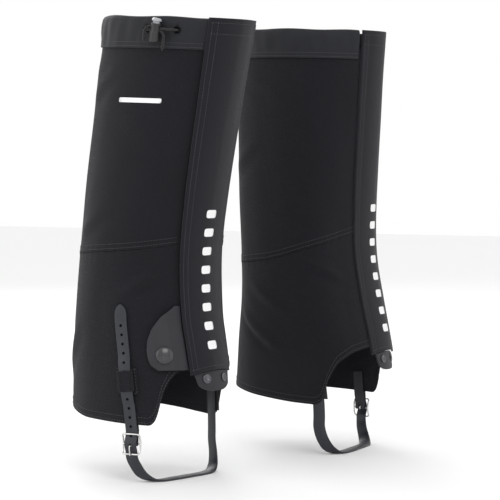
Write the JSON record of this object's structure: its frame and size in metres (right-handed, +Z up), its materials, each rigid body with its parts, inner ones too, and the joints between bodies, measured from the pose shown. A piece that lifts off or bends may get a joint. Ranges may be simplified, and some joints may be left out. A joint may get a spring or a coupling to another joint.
{
  "type": "pair of knee-high gaiters",
  "caption": "Pair of knee-high fabric gaiters with a hook-and-loop front flap, drawcord top, lace hook and buckled instep strap.",
  "frame": {"origin": "on the plane of the instep straps' undersides, midway between the two legs at the ankles", "axes": "+X forward over the toes, +Y from the right gaiter to the left one, +Z up the legs"},
  "size_m": [0.2192, 0.4073, 0.4565],
  "materials": {
    "canvas": "black woven nylon, matt",
    "collar_cloth": "black-blue plain cloth, slight sheen",
    "flap_cloth": "dense black-violet weave, matt",
    "hook_pile": "black hook tape",
    "loop_pile": "black loop pile",
    "webbing": "black webbing",
    "coated_rubber": "black rubberised fabric, satin",
    "strap_rubber": "smooth blue-grey rubber strap",
    "bright_steel": "bright nickel-plated wire",
    "black_metal": "black enamelled metal, gloss",
    "dark_nickel": "polished black nickel",
    "snap_plastic": "black moulded cap, satin",
    "lock_plastic": "black moulded barrel",
    "button_plastic": "glossy grey button",
    "cord_braid": "black braided cord"
  },
  "bodies": {
    "right_gaiter": {"right_upper_panel": "canvas", "right_lower_panel": "canvas", "right_storm_flap": "canvas", "right_collar": "collar_cloth", "right_hook_tape": "hook_pile", "right_eyelet_front": "black_metal", "right_eyelet_back": "black_metal", "right_drawcord_back": "cord_braid", "right_drawcord_front": "cord_braid", "right_cord_lock_body": "lock_plastic", "right_cord_lock_spring": "bright_steel", "right_instep_strap": "strap_rubber", "right_strap_anchor": "webbing", "right_keeper_patch": "canvas", "right_strap_keeper": "canvas", "right_buckle_frame": "bright_steel", "right_buckle_tab": "coated_rubber", "right_snap_stud": "black_metal", "right_snap_post": "black_metal"},
    "right_front_flap": {"right_front_flap": "flap_cloth", "right_loop_tape": "loop_pile"},
    "right_snap_flap": {"right_snap_flap": "coated_rubber", "right_snap_cap": "snap_plastic", "right_snap_socket": "black_metal"},
    "right_lace_tab": {"right_lace_tab": "coated_rubber", "right_lace_hook": "bright_steel", "right_lace_rivet_outer": "dark_nickel", "right_lace_rivet_inner": "dark_nickel"},
    "right_buckle_prong": {"right_buckle_prong": "bright_steel"},
    "right_lock_button": {"right_cord_lock_button": "button_plastic"},
    "left_gaiter": {"left_upper_panel": "canvas", "left_lower_panel": "canvas", "left_storm_flap": "canvas", "left_collar": "collar_cloth", "left_hook_tape": "hook_pile", "left_eyelet_front": "black_metal", "left_eyelet_back": "black_metal", "left_drawcord_back": "cord_braid", "left_drawcord_front": "cord_braid", "left_cord_lock_body": "lock_plastic", "left_cord_lock_spring": "bright_steel", "left_instep_strap": "strap_rubber", "left_strap_anchor": "webbing", "left_keeper_patch": "canvas", "left_strap_keeper": "canvas", "left_buckle_frame": "bright_steel", "left_buckle_tab": "coated_rubber", "left_snap_stud": "black_metal", "left_snap_post": "black_metal"},
    "left_front_flap": {"left_front_flap": "flap_cloth", "left_loop_tape": "loop_pile"},
    "left_snap_flap": {"left_snap_flap": "coated_rubber", "left_snap_cap": "snap_plastic", "left_snap_socket": "black_metal"},
    "left_lace_tab": {"left_lace_tab": "coated_rubber", "left_lace_hook": "bright_steel", "left_lace_rivet_outer": "dark_nickel", "left_lace_rivet_inner": "dark_nickel"},
    "left_buckle_prong": {"left_buckle_prong": "bright_steel"},
    "left_lock_button": {"left_cord_lock_button": "button_plastic"}
  },
  "joints": [
    {"name": "left_gaiter_apart", "type": "slide", "parent": "right_gaiter", "child": "left_gaiter", "axis": [0, 1, 0], "range_m": [-0.04, 0.15]},
    {"name": "right_flap_open", "type": "hinge", "parent": "right_gaiter", "child": "right_front_flap", "pos_m": [0.03422, -0.10438, 0.112], "axis": [0.1011, -0.0128, 0.9948], "range_deg": [0, 45]},
    {"name": "right_snap_flap_lift", "type": "hinge", "parent": "right_front_flap", "child": "right_snap_flap", "pos_m": [0.05019, -0.16666, 0.112], "axis": [-0.1813, 0.0182, 0.9833], "range_deg": [0, 55]},
    {"name": "right_lace_tab_lift", "type": "hinge", "parent": "right_gaiter", "child": "right_lace_tab", "pos_m": [0.06213, -0.13835, 0.10858], "axis": [-0.1638, -0.9865, -0.0065], "range_deg": [0, 60]},
    {"name": "right_prong_swing", "type": "hinge", "parent": "right_gaiter", "child": "right_buckle_prong", "pos_m": [0.00121, -0.19247, 0.038], "axis": [-0.9937, -0.1117, 0], "range_deg": [0, 10]},
    {"name": "right_lock_press", "type": "slide", "parent": "right_gaiter", "child": "right_lock_button", "axis": [-0.1902, 0.0095, -0.9817], "range_m": [0, 0.002], "stiffness_N_per_m": 400, "deforming": ["right_cord_lock_spring"]},
    {"name": "left_flap_open", "type": "hinge", "parent": "left_gaiter", "child": "left_front_flap", "pos_m": [0.08517, 0.10518, 0.112], "axis": [0.0262, 0.0044, -0.9996], "range_deg": [0, 45]},
    {"name": "left_snap_flap_lift", "type": "hinge", "parent": "left_front_flap", "child": "left_snap_flap", "pos_m": [0.09519, 0.16666, 0.112], "axis": [0.195, 0.02, -0.9806], "range_deg": [0, 55]},
    {"name": "left_lace_tab_lift", "type": "hinge", "parent": "left_gaiter", "child": "left_lace_tab", "pos_m": [0.10713, 0.13835, 0.10858], "axis": [0.1638, -0.9865, 0.0065], "range_deg": [0, 60]},
    {"name": "left_prong_swing", "type": "hinge", "parent": "left_gaiter", "child": "left_buckle_prong", "pos_m": [0.04621, 0.19247, 0.038], "axis": [0.9937, -0.1117, 0], "range_deg": [0, 10]},
    {"name": "left_lock_press", "type": "slide", "parent": "left_gaiter", "child": "left_lock_button", "axis": [-0.0375, 0.0114, -0.9992], "range_m": [0, 0.002], "stiffness_N_per_m": 400, "deforming": ["left_cord_lock_spring"]}
  ]
}
